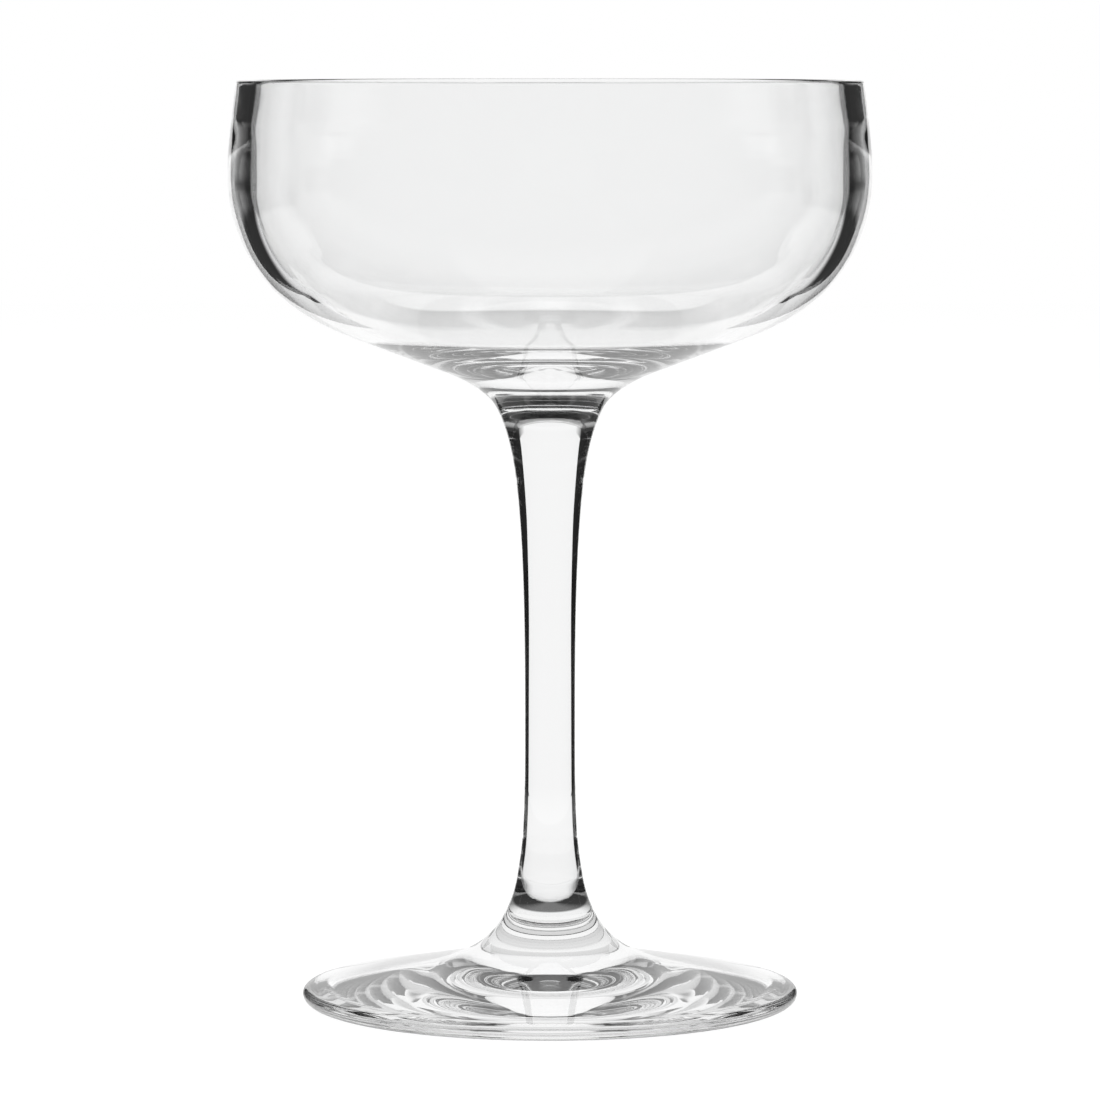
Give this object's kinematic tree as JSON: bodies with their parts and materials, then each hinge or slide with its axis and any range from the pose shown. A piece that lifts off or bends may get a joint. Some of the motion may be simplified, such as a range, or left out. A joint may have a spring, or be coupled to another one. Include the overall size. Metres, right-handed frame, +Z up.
{
  "type": "coupe glass",
  "caption": "Stemmed coupe glass with a broad shallow thick-walled bowl, a slim waisted stem and a low cone-shaped foot.",
  "frame": {"origin": "centre of the ring that the foot stands on, at table level", "axes": "+Z up along the glass's axis, from the foot to the rim; the glass is round, so +X and +Y are alike, and the picture looks along +Y"},
  "size_m": [0.1, 0.1, 0.1443],
  "materials": {
    "bowl_glass": "clear polished",
    "stem_glass": "clear polished",
    "foot_glass": "clear polished"
  },
  "bodies": {
    "root": {"bowl": "bowl_glass", "stem": "stem_glass", "foot": "foot_glass"}
  },
  "joints": []
}
